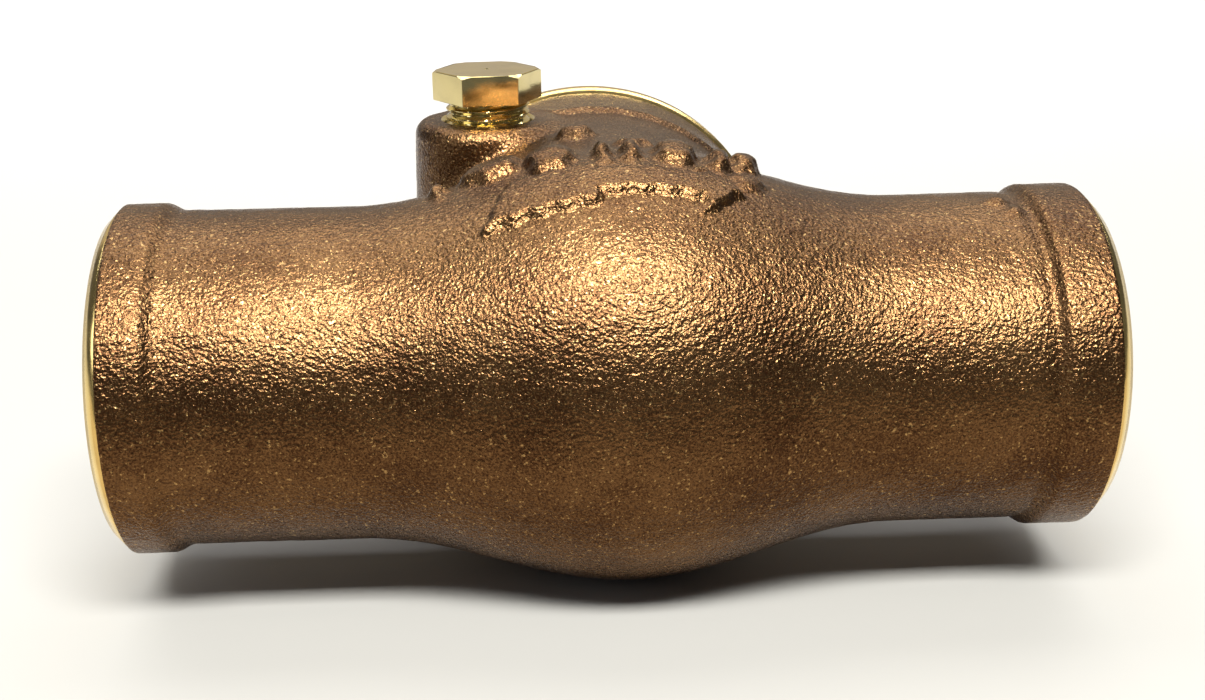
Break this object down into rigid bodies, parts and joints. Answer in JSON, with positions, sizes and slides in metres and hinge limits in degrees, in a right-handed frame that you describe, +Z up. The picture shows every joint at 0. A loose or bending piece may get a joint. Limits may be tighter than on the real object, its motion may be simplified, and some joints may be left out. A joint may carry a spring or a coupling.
{
  "type": "swing check valve",
  "caption": "Cast bronze swing check valve with solder cup ends, a screwed cap, a hex side plug over the hinge pin and a soft-faced disc that swings open with the flow.",
  "frame": {"origin": "bottom centre of the whole valve's box, with the valve lying on its side as on a bench", "axes": "+X along the waterway, from the inlet to the outlet. +Y out through the screwed cap. +Z up, along the hinge pin towards its side plug."},
  "size_m": [0.133, 0.0932, 0.0675],
  "materials": {
    "cast_bronze": "rough sand-cast bronze with golden glints",
    "machined_brass": "bright turned brass",
    "disc_bronze": "machined bronze, satin",
    "stainless_steel": "ground pin",
    "black_rubber": "moulded rubber, matte",
    "white_seal": "cream fluoropolymer sheet"
  },
  "bodies": {
    "housing": {"valve_body": "cast_bronze", "cap": "machined_brass", "cap_gasket": "white_seal", "side_plug": "machined_brass"},
    "pin": {"hinge_pin": "stainless_steel"},
    "swing_arm": {"hanger": "disc_bronze"},
    "disc": {"disc_holder": "disc_bronze", "seat_disc": "black_rubber", "disc_plate": "machined_brass", "disc_screw": "machined_brass", "hanger_washer": "machined_brass", "hanger_nut": "machined_brass"}
  },
  "joints": [
    {"name": "pin_spin", "type": "hinge", "parent": "housing", "child": "pin", "pos_m": [-0.016, 0.0121, 0.0305], "axis": [0, 0, 1], "continuous": true},
    {"name": "disc_swing", "type": "hinge", "parent": "housing", "child": "swing_arm", "pos_m": [-0.016, 0.0121, 0.0305], "axis": [0, 0, 1], "range_deg": [0, 60]},
    {"name": "disc_spin", "type": "hinge", "parent": "swing_arm", "child": "disc", "pos_m": [-0.016, -0.0184, 0.0305], "axis": [1, 0, 0], "continuous": true}
  ]
}
